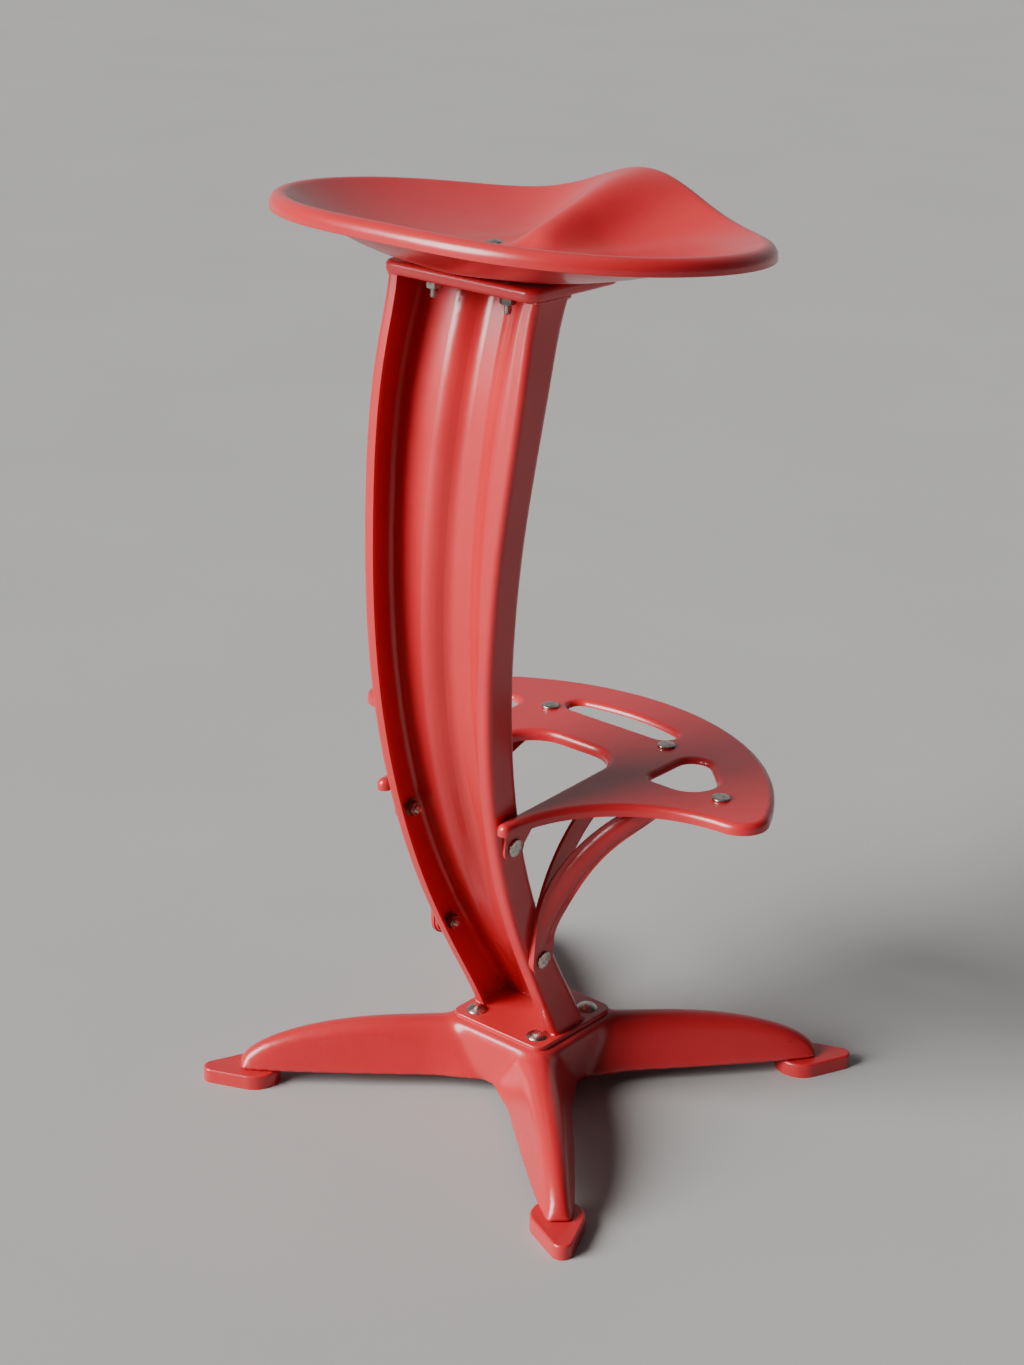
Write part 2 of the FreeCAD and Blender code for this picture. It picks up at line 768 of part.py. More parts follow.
# Footrest plate
def footrest_outline():
    """The outline of the footrest: a round front, two wing tips and two arms round the column."""
    rim_centre = Vector(0, size("footrest_rim_centre"))
    rim = size("footrest_rim_radius")
    tip = size("wing_tip_round")
    scoop = size("scoop_radius")
    side_top = Vector(-column_half(size("footrest_top")) - size("arm_clearance"), size("scoop_y"))
    arm_out = side_top - Vector(size("arm_width"), 0)
    scoop_centre = arm_out - Vector(scoop, 0)
    between = scoop_centre - rim_centre
    apart = between.Length
    inner = rim - tip
    outer = scoop + tip
    along = (apart**2 + inner**2 - outer**2) / (2 * apart)
    aside = math.sqrt(inner**2 - along**2)
    unit = between.normalize()
    tip_centre = rim_centre + unit * along + Vector(-unit.y, unit.x) * aside
    front = rim_centre + (tip_centre - rim_centre).normalize() * rim
    back = tip_centre + (scoop_centre - tip_centre).normalize() * tip
    arm_middle = (arm_out + side_top) / 2
    arm_end = arm_middle + Vector(0, (side_top.x - arm_out.x) / 2)
    edges = []
    start = heading(front - rim_centre)
    edges.append(arc_by_angle(rim_centre, rim, start, -math.pi - start))
    half = [
        arc_by_angle(tip_centre, tip, heading(front - tip_centre), heading(back - tip_centre) - 2 * math.pi),
        arc_by_angle(scoop_centre, scoop, heading(back - scoop_centre), 0),
        Part.Arc(arm_out, arm_end, side_top).toShape(),
    ]
    corner = Vector(-size("cut_out_front_half"), size("cut_out_front"))
    into = (side_top - corner).normalize()
    onto = Vector(1, 0)
    half_angle = into.getAngle(onto) / 2
    run = size("cut_out_round") / math.tan(half_angle)
    middle = (into + onto).normalize()
    bend = corner + middle * (size("cut_out_round") / math.sin(half_angle) - size("cut_out_round"))
    half.append(line(side_top, corner + into * run))
    half.append(Part.Arc(corner + into * run, bend, corner + onto * run).toShape())
    for edge in half:
        edges.append(edge)
        edges.append(edge.mirror(Vector(), Vector(1, 0, 0)))
    edges.append(line(corner + onto * run, Vector(-corner.x - run, corner.y)))
    return Part.Wire(Part.__sortEdges__(edges))


def slot_outline():
    """The long slot behind the front edge: straight at the rear, round at the front and ends."""
    centre = Vector(0, size("footrest_rim_centre"))
    radius = size("footrest_rim_radius") - size("slot_margin")
    rear = centre.y - radius + size("slot_depth")
    bend = size("slot_round")
    end_y = rear - bend
    end_x = math.sqrt((radius - bend) ** 2 - (centre.y - end_y) ** 2)
    left = Vector(-end_x, end_y)
    right = Vector(end_x, end_y)
    spread = heading(right - centre)
    edges = [
        arc_by_angle(centre, radius, -math.pi - spread, spread),
        arc_by_angle(right, bend, spread, math.pi / 2),
        line(right + Vector(0, bend), left + Vector(0, bend)),
        arc_by_angle(left, bend, math.pi / 2, math.pi - spread),
    ]
    return Part.Wire(edges)


def eye_outline(side):
    """A three-sided opening in one wing, with round corners."""
    heel = Vector(-size("eye_inner"), size("eye_rear"))
    front = heel - Vector(0, size("eye_reach"))
    outer = heel - Vector(size("eye_reach"), 0)
    bends = [size("eye_heel_round"), size("eye_round"), size("eye_front_round")]
    wire = rounded_polygon([heel, outer, front], bends)
    if side > 0:
        wire = wire.mirror(Vector(), Vector(1, 0, 0))
    return wire


def level_face(outline, openings):
    return Part.Face([outline] + openings, "Part::FaceMakerBullseye")


def pressed_tray(outline, openings, top, lip, opening_lip, wall, edge):
    """A flat sheet whose edges are turned down all round, and less deep round its openings."""
    outer = level_face(outline, openings).extrude(Vector(0, 0, -lip))
    outer.translate(Vector(0, 0, top))
    upper = [e for e in outer.Edges if e.BoundBox.ZMin > top - 1e-6]
    outer = outer.makeFillet(edge, upper)
    narrower = outline.makeOffset2D(-wall)
    wider = [opening.makeOffset2D(wall) for opening in openings]
    core = level_face(narrower, wider).extrude(Vector(0, 0, -lip - 1))
    core.translate(Vector(0, 0, top - wall))
    upper = [e for e in core.Edges if e.BoundBox.ZMin > top - wall - 1e-6]
    core = core.makeFillet(edge - wall, upper)
    tray = outer.cut(core)
    for opening in openings:
        below = Part.Face(opening.makeOffset2D(wall + 0.5)).extrude(Vector(0, 0, opening_lip - lip - 1))
        below.translate(Vector(0, 0, top - opening_lip))
        tray = tray.cut(below)
    return tray


def footrest_plate():
    """The footrest: a pressed tray with three openings, and a tab down each arm."""
    top = size("footrest_top")
    openings = [slot_outline(), eye_outline(-1), eye_outline(1)]
    plate = pressed_tray(
        footrest_outline(),
        openings,
        top,
        size("footrest_lip"),
        size("opening_lip"),
        size("footrest_sheet"),
        size("footrest_edge"),
    )
    reach = size("arm_bolt_drop") - size("footrest_lip") / 2
    arm, _ = flange_bolts()
    for side in (-1, 1):
        spot, out, along = flange_frame(side, *arm, 0)
        spread = side * size("arm_tab_spread")
        tab = end_tab(spot, along, out, size("arm_tab_half"), size("footrest_sheet"), reach, spread)
        plate = plate.fuse(tab)
        radius = size("small_bolt_diameter") / 2 + size("bolt_clearance")
        plate = plate.cut(Part.makeCylinder(radius, 40, spot - out * 20, out))
    for position, _ in footrest_bolt_places(top):
        radius = size("small_bolt_diameter") / 2 + size("bolt_clearance")
        plate = plate.cut(Part.makeCylinder(radius, 4 * size("footrest_sheet"), position - UP * 8))
    return plate.removeSplitter()


def footrest_bolt_places(height):
    places = []
    for side in (-1, 1):
        places.append((Vector(side * size("inner_bolt_x"), size("inner_bolt_y"), height), UP))
        places.append((Vector(side * size("outer_bolt_x"), size("outer_bolt_y"), height), UP))
    return places


def end_tab(spot, along, out, half, thickness, reach, spread=0):
    """A flat tab with a round end about a bolt, standing on a face; it may widen to one side."""
    across = out.cross(along)
    points = [
        spot + across * half,
        spot - along * half,
        spot - across * half,
        spot - across * (half - min(spread, 0)) + along * reach,
        spot + across * (half + max(spread, 0)) + along * reach,
    ]
    edges = [
        Part.Arc(points[0], points[1], points[2]).toShape(),
        line(points[2], points[3]),
        line(points[3], points[4]),
        line(points[4], points[0]),
    ]
    return Part.Face(Part.Wire(edges)).extrude(out * thickness)


# Struts
def strut_section(point, along, normal, width, thickness, rib):
    """One cut across a strut: a flat strip with a rounded rib along its middle."""
    across = normal.cross(along)
    base = point - normal * (thickness / 2)
    face = point + normal * (thickness / 2)
    rib_half = size("rib_width") / 2
    edges = []
    for level, sign in ((face, 1), (base, -1)):
        start = level + across * (width / 2 * sign)
        rib_start = level + across * (rib_half * sign)
        rib_end = level - across * (rib_half * sign)
        end = level - across * (width / 2 * sign)
        edges.append(line(start, rib_start))
        edges.append(Part.Arc(rib_start, level + normal * rib, rib_end).toShape())
        edges.append(line(rib_end, end))
        other = (base if sign > 0 else face) - across * (width / 2 * sign)
        edges.append(line(end, other))
    return Part.Wire(edges)


def bezier(points, share):
    rest = 1 - share
    return (
        points[0] * rest**3
        + points[1] * (3 * rest**2 * share)
        + points[2] * (3 * rest * share**2)
        + points[3] * share**3
    )


def bezier_heading(points, share):
    rest = 1 - share
    pull = (points[1] - points[0]) * rest**2
    pull += (points[2] - points[1]) * (2 * rest * share)
    pull += (points[3] - points[2]) * share**2
    return pull.normalize()


def strut(side, layer, width, top_width, upper, handles, plane_blend, rib):
    """A curved strip from a bolt in the column's flange to a bolt under the footrest."""
    thickness = size("strut_thickness")
    reach = size("strut_tab_reach")
    _, joint = flange_bolts()
    spot, out, along = flange_frame(side, *joint, layer * thickness)
    under = size("footrest_top") - size("footrest_sheet")
    top_spot = Vector(side * upper[0], upper[1], under - thickness)
    plan = Vector(top_spot.x - spot.x, top_spot.y - spot.y, 0).normalize()
    facing = Vector(plan.y, -plan.x, 0) * -side
    start = spot + along * reach + out * (thickness / 2)
    end = top_spot - plan * reach + UP * (thickness / 2)
    points = [start, start + along * handles[0], end - plan * handles[1], end]
    sections = []
    for step in range(11):
        share = step / 10
        travel = bezier_heading(points, share)
        early = smooth_step(share / 0.4) * plane_blend
        late = smooth_step((share - 0.62) / 0.38)
        normal = (out * (1 - early) + facing * early) * (1 - late) + UP * (-1 * late)
        normal = normal - travel * normal.dot(travel)
        normal.normalize()
        strip = width + (top_width - width) * smooth_step(share)
        height = max(rib * math.sin(math.pi * share) ** 0.5, 0.15)
        sections.append(strut_section(bezier(points, share), travel, normal, strip, thickness, height))
    strip = Part.makeLoft(sections, True, False)
    lower_tab = end_tab(spot, along, out, width / 2, thickness, reach + 0.5)
    upper_tab = end_tab(top_spot, plan * -1, UP, top_width / 2, thickness, reach + 0.5)
    bracket = strip.fuse(lower_tab).fuse(upper_tab)
    radius = size("small_bolt_diameter") / 2 + size("bolt_clearance")
    bracket = bracket.cut(Part.makeCylinder(radius, 40, spot - out * 20, out))
    return bracket.cut(Part.makeCylinder(radius, 40, top_spot - UP * 20, UP))


# Base and feet
FEET = {"rear_left": 45, "rear_right": 135, "front_right": 225, "front_left": 315}
for corner_name, turn in FEET.items():
    foot_pad(f"foot_pad_{corner_name}", turn)

screw = domed_bolt(
    "pad_screw",
    "Sizes.pad_screw_diameter",
    "Sizes.pad_screw_head",
    "Sizes.pad_screw_head_height",
    "Sizes.pad_thickness - Sizes.pad_screw_head_height - 1 + Sizes.pad_screw_grip",
)
screw_places = []
for turn in FEET.values():
    reach = FreeCAD.Rotation(UP, turn).multVec(Vector(screw_reach(), 0, 0))
    screw_places.append((reach + UP * (size("pad_screw_head_height") + 1), UP * -1))
add_group("foot_screws", screw, screw_places)

add_shape("base_star", base_casting())
base_plate = rounded_plate(
    "base_plate",
    "Sizes.base_plate_side",
    "Sizes.base_plate_side",
    "Sizes.base_plate_corner",
    "Sizes.base_plate_thickness",
    "Sizes.base_plate_edge",
    False,
    (
        "Sizes.base_bolt_pitch",
        "Sizes.base_bolt_pitch",
        "Sizes.base_bolt_diameter + 2*Sizes.bolt_clearance",
    ),
)
bind(base_plate, Placement__Base__z="Sizes.hub_top")

base_stack = "Sizes.base_plate_thickness + Sizes.casting_wall + Sizes.base_washer_thickness"
base_bolt = domed_bolt(
    "base_bolt",
    "Sizes.base_bolt_diameter",
    "Sizes.base_head_diameter",
    "Sizes.base_head_height",
    f"{base_stack} + Sizes.base_nut_height + Sizes.base_bolt_tail",
)
base_washer = washer(
    "base_washer",
    "Sizes.base_washer_diameter",
    "Sizes.base_bolt_diameter",
    "Sizes.base_washer_thickness",
)
base_nut = hexagon_nut(
    "base_nut", "Sizes.base_nut_flats", "Sizes.base_bolt_diameter", "Sizes.base_nut_height"
)
base_pitch = size("base_bolt_pitch")
hub_under = size("hub_top") - size("casting_wall")
add_group("base_bolts", base_bolt, four_corners(base_pitch, base_pitch, 0, plate_top()))
add_group("base_washers", base_washer, four_corners(base_pitch, base_pitch, 0, hub_under))
nut_seat = hub_under - size("base_washer_thickness")
add_group("base_nuts", base_nut, four_corners(base_pitch, base_pitch, 0, nut_seat))

# Column, cap plate and seat
add_shape("column", bowed_column())
cap_plate = rounded_plate(
    "cap_plate",
    "Sizes.cap_width",
    "Sizes.cap_depth",
    "Sizes.cap_corner",
    "Sizes.cap_thickness",
    "Sizes.cap_edge",
    True,
    (
        "Sizes.seat_bolt_pitch_x",
        "Sizes.seat_bolt_pitch_y",
        "Sizes.small_bolt_diameter + 2*Sizes.bolt_clearance",
    ),
)
bind(cap_plate, Placement__Base__z="Sizes.cap_top - Sizes.cap_thickness")
bind(cap_plate, Placement__Base__y="Sizes.seat_centre")
add_shape("seat_pan", seat_pan())


def small_bolt(name, grip, tail):
    """A small round-headed bolt for a stack of the given thickness."""
    return domed_bolt(
        name,
        "Sizes.small_bolt_diameter",
        "Sizes.small_head_diameter",
        "Sizes.small_head_height",
        f"{grip} + Sizes.small_washer_thickness + Sizes.small_nut_height + {tail}",
    )


small_washer = washer(
    "small_washer",
    "Sizes.small_washer_diameter",
    "Sizes.small_bolt_diameter",
    "Sizes.small_washer_thickness",
)
small_nut = hexagon_nut(
    "small_nut", "Sizes.small_nut_flats", "Sizes.small_bolt_diameter", "Sizes.small_nut_height"
)


def add_bolted_set(name, bolt, head_places, grip):
    """Bolts at their heads' places, with a washer and a nut at the far side of the stack."""
    washer_places = [(spot - way * grip, way) for spot, way in head_places]
    nut_places = [(spot - way * size("small_washer_thickness"), way) for spot, way in washer_places]
    add_group(f"{name}_bolts", bolt, head_places)
    add_group(f"{name}_washers", small_washer, washer_places)
    add_group(f"{name}_nuts", small_nut, nut_places)


seat_top = size("cap_top") + size("seat_sheet")
seat_places = four_corners(
    size("seat_bolt_pitch_x"), size("seat_bolt_pitch_y"), size("seat_centre"), seat_top
)
seat_grip = "Sizes.seat_sheet + Sizes.cap_thickness"
seat_bolt = small_bolt("seat_bolt", seat_grip, "Sizes.seat_bolt_tail")
add_bolted_set("seat", seat_bolt, seat_places, size("seat_sheet") + size("cap_thickness"))

# Footrest
add_shape("footrest_plate", footrest_plate())
footrest_grip = size("footrest_sheet") + size("strut_thickness")
footrest_bolt = small_bolt(
    "footrest_bolt", "Sizes.footrest_sheet + Sizes.strut_thickness", "Sizes.small_bolt_tail"
)
add_bolted_set("footrest", footrest_bolt, footrest_bolt_places(size("footrest_top")), footrest_grip)

for side, name in ((1, "left"), (-1, "right")):
    inner = strut(
        side,
        0,
        size("inner_strut_width"),
        size("inner_strut_top_width"),
        (size("inner_bolt_x"), size("inner_bolt_y")),
        (size("inner_lower_handle"), size("inner_upper_handle")),
        0,
        0.2,
    )
    add_shape(f"inner_strut_{name}", inner)
    outer = strut(
        side,
        1,
        size("outer_strut_width"),
        size("outer_strut_top_width"),
        (size("outer_bolt_x"), size("outer_bolt_y")),
        (size("outer_lower_handle"), size("outer_upper_handle")),
        1,
        size("rib_height"),
    )
    add_shape(f"outer_strut_{name}", outer)

arm, joint = flange_bolts()
stand_off = 2 * size("strut_thickness")
arm_places = []
strut_places = []
for side in (1, -1):
    spot, out, _ = flange_frame(side, *arm, size("footrest_sheet"))
    arm_places.append((spot, out))
    spot, out, _ = flange_frame(side, *joint, stand_off)
    strut_places.append((spot, out))
arm_bolt = small_bolt("arm_bolt", "Sizes.footrest_sheet + Sizes.sheet_thickness", "Sizes.small_bolt_tail")
add_bolted_set("arm", arm_bolt, arm_places, size("footrest_sheet") + size("sheet_thickness"))
strut_bolt = small_bolt(
    "strut_bolt", "2*Sizes.strut_thickness + Sizes.sheet_thickness", "Sizes.small_bolt_tail"
)
add_bolted_set("strut", strut_bolt, strut_places, stand_off + size("sheet_thickness"))

doc.recompute()

# Nothing is written unless every object and every sub-part is sound
for thing in doc.Objects:
    if "Invalid" in thing.State or "Error" in thing.State:
        raise ValueError(f"{thing.Label} failed: {thing.State}")
for node in nodes:
    if node.Shape.isNull() or not node.Shape.isValid() or not node.Shape.Solids:
        raise ValueError(f"{node.Label} has no sound solid")

os.makedirs("parts", exist_ok=True)
for node in nodes:
    node.Shape.exportStep(f"parts/{node.Label}.step")
    print(f"{node.Label}: {len(node.Shape.Solids)} solids, {node.Shape.Volume / 1000:.2f} cm3")
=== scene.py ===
import json
import math

import bmesh
import bpy
from mathutils import Matrix, Vector


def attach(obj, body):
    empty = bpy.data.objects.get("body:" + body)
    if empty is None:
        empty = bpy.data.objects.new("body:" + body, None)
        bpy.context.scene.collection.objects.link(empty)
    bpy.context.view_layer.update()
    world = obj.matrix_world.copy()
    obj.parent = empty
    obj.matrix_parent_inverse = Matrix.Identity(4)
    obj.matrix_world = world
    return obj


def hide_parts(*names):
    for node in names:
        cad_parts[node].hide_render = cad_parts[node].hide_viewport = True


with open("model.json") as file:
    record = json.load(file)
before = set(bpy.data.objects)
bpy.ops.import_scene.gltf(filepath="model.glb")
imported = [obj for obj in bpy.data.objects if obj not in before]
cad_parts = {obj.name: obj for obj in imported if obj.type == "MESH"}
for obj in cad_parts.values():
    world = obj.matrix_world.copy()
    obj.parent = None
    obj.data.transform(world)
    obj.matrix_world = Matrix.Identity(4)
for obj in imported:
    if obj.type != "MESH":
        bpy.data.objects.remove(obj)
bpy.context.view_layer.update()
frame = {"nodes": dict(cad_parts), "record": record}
bpy.ops.object.select_all(action="DESELECT")

# Camera, at the place and angle that the photograph was taken from
CAMERA_PLACE = Vector((-1.19688, 1.48104, 1.12897))
CAMERA_TURN = math.radians(219.69)
CAMERA_PITCH = math.radians(21.85)
CAMERA_ROLL = math.radians(1.53)
CAMERA_LENS = 65.97

# Seat, in millimetres: sheet and flat
SEAT_MIDDLE = 64.5
SEAT_TOP = 725.5
SEAT_SHEET = 3
FLAT_LIFT = 2.4
FLAT_EDGE = 95
FLAT_BLEND = 45

# Seat, in millimetres: the rim's plan, with its shift to the front and its oval
RIM_RADIUS = 172.4
RIM_SHIFT = 26.8
RIM_OVAL = 21.8
RIM_DRAW_IN = 1.6
RIM_ROLL = 9.5
RIM_DROP = 3
RIM_EDGE_ROUND = 0.4

# Seat: the bowl's rise in millimetres and its steepness, each with its tilt and its saddle
BOWL_START = 58.5
BOWL_RISE = 31.6
BOWL_RISE_TILT = 15.3
BOWL_RISE_SADDLE = 2.3
BOWL_POWER = 1.73
BOWL_POWER_TILT = 0.3
BOWL_POWER_SADDLE = 0.2

# Seat, in millimetres: the pommel and the ridge that runs from it into the bowl
POMMEL_SPREAD = math.radians(21.7)
POMMEL_RISE = 33.5
RIDGE_START = 12
RIDGE_ONSET = 0.2
RIDGE_FALL = 2.4
RIDGE_SWELL = 27
RIDGE_WIDTH = 18
RIDGE_FLARE = 0.2
RIDGE_FLARE_START = 40
RIDGE_OPENS_AT = 85

# Seat: how finely it is drawn
SEAT_COLUMNS = 216
BOWL_STEPS = 60
ROLL_STEPS = 12
POLE_GAP = 0.0001

# Each set of bolts: where a head sits and which way it faces, for both sides of the stool
UPWARDS = (0, 0, 1)
SEAT_BOLT_HEIGHT = (SEAT_TOP + FLAT_LIFT) / 1000
SEAT_BOLTS = [((x, y, SEAT_BOLT_HEIGHT), UPWARDS) for x in (-0.0365, 0.0365) for y in (0.0297, 0.0993)]
BASE_BOLTS = [((x, y, 0.0625), UPWARDS) for x in (-0.0336, 0.0336) for y in (-0.0336, 0.0336)]
FOOTREST_BOLTS = [((side * 0.0632, -0.0903, 0.3), UPWARDS) for side in (-1, 1)]
FOOTREST_BOLTS += [((side * 0.1599, -0.0345, 0.3), UPWARDS) for side in (-1, 1)]
ARM_BOLTS = [((side * 0.0589, 0.10103, 0.27087), (side * 0.9986, 0, -0.0522)) for side in (-1, 1)]
STRUT_BOLTS = [((side * 0.05622, 0.05695, 0.15269), (side * 0.9986, 0, -0.0522)) for side in (-1, 1)]

# Bolt and nut sizes
SMALL_BOLT = 0.0063
SMALL_HEAD = 0.0152
SMALL_DOME = 0.0028
SMALL_LOW_HEAD = 0.0019
SMALL_NUT_FLATS = 0.0111
SMALL_NUT_HEIGHT = 0.0056
SMALL_PITCH = 0.00127
BASE_BOLT = 0.008
BASE_HEAD = 0.019
BASE_DOME = 0.0044
BASE_NUT_FLATS = 0.013
BASE_NUT_HEIGHT = 0.0065
BASE_PITCH = 0.0014

# Bolt lengths below the head, and how far below the head's seat each nut starts
SEAT_BOLT_LENGTH = 0.0312
BASE_BOLT_LENGTH = 0.0211
FOOTREST_BOLT_LENGTH = 0.0168
STRUT_BOLT_LENGTH = 0.0203
SEAT_NUT_DROP = 0.0181
BASE_NUT_DROP = 0.0116
FOOTREST_NUT_DROP = 0.0077
STRUT_NUT_DROP = 0.0112

# How far each next fastener of a set is turned, in degrees
FIRST_TURN = 8
NEXT_TURN = 23

# Base casting: the grain of its skin, and where the blends between hub and legs lie
CASTING_GRAIN = 0.0021
BLEND_REACH = 0.125
BLEND_FADE = 0.04
HUB_SIDE = 0.046
HUB_UNDER = 0.016
HUB_CROWN = 0.0575
HUB_FADE = 0.008
CROWN_FADE = 0.004
BLEND_ROUNDS = 40
SKIN_ROUNDS = 4

# Light: where the window's light goes, and the side on which the surroundings are pale
WINDOW_AIM = Vector((-0.38, -0.80, -0.47))
WINDOW_STRENGTH = 7.6
WINDOW_SPREAD = math.radians(36)
CEILING_PLACE = Vector((0.4, 0.2, 3.2))
CEILING_TARGET = Vector((0, 0, 0.4))
CEILING_SIZE = 2.6
CEILING_POWER = 5
PALE_SIDE = (0.632, -0.775, 0)
PALE_SIDE_START = 0.2
DIM_STRENGTH = 0.04
PALE_STRENGTH = 0.5


def add_camera():
    forward = Vector(
        (
            -math.sin(CAMERA_TURN) * math.cos(CAMERA_PITCH),
            math.cos(CAMERA_TURN) * math.cos(CAMERA_PITCH),
            -math.sin(CAMERA_PITCH),
        )
    )
    level = forward.cross(Vector((0, 0, 1))).normalized()
    upright = level.cross(forward)
    right = level * math.cos(CAMERA_ROLL) + upright * math.sin(CAMERA_ROLL)
    up = upright * math.cos(CAMERA_ROLL) - level * math.sin(CAMERA_ROLL)
    data = bpy.data.cameras.new("camera")
    data.sensor_fit = "AUTO"
    data.sensor_width = 36
    data.lens = CAMERA_LENS
    data.clip_start = 0.01
    camera = bpy.data.objects.new("camera", data)
    turn = Matrix((right, up, -forward)).transposed().to_4x4()
    camera.matrix_world = Matrix.Translation(CAMERA_PLACE) @ turn
    bpy.context.scene.collection.objects.link(camera)
    bpy.context.scene.camera = camera


# Materials
def new_material(name):
    material = bpy.data.materials.new(name)
    material.use_nodes = True
    nodes = material.node_tree.nodes
    return material, nodes, material.node_tree.links, nodes["Principled BSDF"]


def add_noise(nodes, links, scale, detail):
    coordinates = nodes.new("ShaderNodeTexCoord")
    noise = nodes.new("ShaderNodeTexNoise")
    noise.inputs["Scale"].default_value = scale
    noise.inputs["Detail"].default_value = detail
    links.new(coordinates.outputs["Object"], noise.inputs["Vector"])
    return noise.outputs["Fac"]


def add_ramp(nodes, links, value, low, low_colour, high, high_colour):
    """Colours that go from one to the other as the value rises from low to high."""
    ramp = nodes.new("ShaderNodeValToRGB")
    first, last = ramp.color_ramp.elements
    first.position = low
    first.color = (*low_colour, 1)
    last.position = high
    last.color = (*high_colour, 1)
    links.new(value, ramp.inputs["Fac"])
    return ramp.outputs["Color"]


def add_specks(nodes, links, scale, reach):
    """A mask of small sparse specks, such as pinholes and chips in a coat of paint."""
    coordinates = nodes.new("ShaderNodeTexCoord")
    cells = nodes.new("ShaderNodeTexVoronoi")
    cells.inputs["Scale"].default_value = scale
    links.new(coordinates.outputs["Object"], cells.inputs["Vector"])
    return add_ramp(nodes, links, cells.outputs["Distance"], reach, (1, 1, 1), reach * 1.6, (0, 0, 0))


def vary_roughness(nodes, links, shader, value, least, most):
    span = nodes.new("ShaderNodeMapRange")
    span.inputs["To Min"].default_value = least
    span.inputs["To Max"].default_value = most
    links.new(value, span.inputs["Value"])
    links.new(span.outputs["Result"], shader.inputs["Roughness"])


def add_bump(nodes, links, height, strength, distance):
    bump = nodes.new("ShaderNodeBump")
    bump.inputs["Strength"].default_value = strength
    bump.inputs["Distance"].default_value = distance
    links.new(height, bump.inputs["Height"])
    return bump


def enamel(name, colour, darker, roughness, lump_scale, lump):
    """Satin red enamel with a faint unevenness in colour, gloss and surface."""
    material, nodes, links, shader = new_material(name)
    tone = add_noise(nodes, links, 9, 4)
    paint = add_ramp(nodes, links, tone, 0.3, darker, 0.7, colour)
    chipped = nodes.new("ShaderNodeMix")
    chipped.data_type = "RGBA"
    chipped.inputs["B"].default_value = (0.06, 0.012, 0.012, 1)
    links.new(add_specks(nodes, links, 22, 0.012), chipped.inputs["Factor"])
    links.new(paint, chipped.inputs["A"])
    links.new(chipped.outputs["Result"], shader.inputs["Base Color"])
    gloss = add_noise(nodes, links, 40, 5)
    vary_roughness(nodes, links, shader, gloss, roughness - 0.05, roughness + 0.07)
    shader.inputs["Coat Weight"].default_value = 0.3
    shader.inputs["Coat Roughness"].default_value = 0.18
    lumps = add_noise(nodes, links, lump_scale, 2)
    broad = add_bump(nodes, links, lumps, lump, 0.002)
    peel = add_noise(nodes, links, 900, 2)
    fine = add_bump(nodes, links, peel, 0.05, 0.0006)
    links.new(broad.outputs["Normal"], fine.inputs["Normal"])
    links.new(fine.outputs["Normal"], shader.inputs["Normal"])
    return material


def steel(name, colour, roughness, grain):
    """Plated steel with a little tarnish and fine scratches."""
    material, nodes, links, shader = new_material(name)
    tone = add_noise(nodes, links, 260, 3)
    tarnished = [0.55 * part for part in colour]
    plating = add_ramp(nodes, links, tone, 0.3, tarnished, 0.6, colour)
    links.new(plating, shader.inputs["Base Color"])
    shader.inputs["Metallic"].default_value = 1
    gloss = add_noise(nodes, links, 700, 4)
    vary_roughness(nodes, links, shader, gloss, roughness - 0.06, roughness + 0.1)
    scratches = add_bump(nodes, links, gloss, grain, 0.0002)
    links.new(scratches.outputs["Normal"], shader.inputs["Normal"])
    return material


SLOT_MATERIALS = {
    "red_enamel": enamel("red_enamel_look", (0.55, 0.020, 0.028), (0.49, 0.017, 0.024), 0.3, 60, 0.06),
    "red_enamel_casting": enamel(
        "red_casting_look", (0.55, 0.020, 0.028), (0.48, 0.017, 0.024), 0.32, 110, 0.12
    ),
    "bolt_steel": steel("bolt_look", (0.60, 0.55, 0.50), 0.26, 0.1),
    "nut_steel": steel("nut_look", (0.34, 0.31, 0.275), 0.36, 0.25),
}


def dress_nodes():
    """Gives every CAD node the finish of its slot."""
    slots = {}
    for entry in frame["record"]["subparts"]:
        slots[entry["node"]] = entry["material_slot"]
    for name, node in frame["nodes"].items():
        node.data.materials.clear()
        node.data.materials.append(SLOT_MATERIALS[slots[name]])


# Steps that every piece shares
def select_only(piece):
    bpy.ops.object.select_all(action="DESELECT")
    piece.select_set(True)
    bpy.context.view_layer.objects.active = piece


def apply_modifier(piece, kind, **settings):
    modifier = piece.modifiers.new(kind.lower(), kind)
    for name, value in settings.items():
        setattr(modifier, name, value)
    bpy.context.view_layer.objects.active = piece
    bpy.ops.object.modifier_apply(modifier=modifier.name)


def cut_with(piece, tool, operation):
    apply_modifier(piece, "BOOLEAN", object=tool, operation=operation, solver="EXACT")
    bpy.data.objects.remove(tool)


def settle(piece):
    """Puts the piece's place into its mesh."""
    select_only(piece)
    bpy.ops.object.transform_apply(location=True, rotation=True, scale=True)


def merge_points(piece, distance):
    """Closes a mesh where neighbouring faces don't share their points yet."""
    select_only(piece)
    bpy.ops.object.mode_set(mode="EDIT")
    bpy.ops.mesh.select_all(action="DESELECT")
    bpy.ops.mesh.select_non_manifold()
    bpy.ops.mesh.remove_doubles(threshold=distance)
    bpy.ops.object.mode_set(mode="OBJECT")


def join_pieces(pieces):
    bpy.ops.object.select_all(action="DESELECT")
    for piece in pieces:
        piece.select_set(True)
    bpy.context.view_layer.objects.active = pieces[0]
    bpy.ops.object.join()
    return pieces[0]


def finish_piece(piece, slot, node):
    """Gives a piece its finish and shows it instead of the CAD node."""
    piece.data.materials.clear()
    piece.data.materials.append(SLOT_MATERIALS[slot])
    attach(piece, "root")
    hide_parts(node)


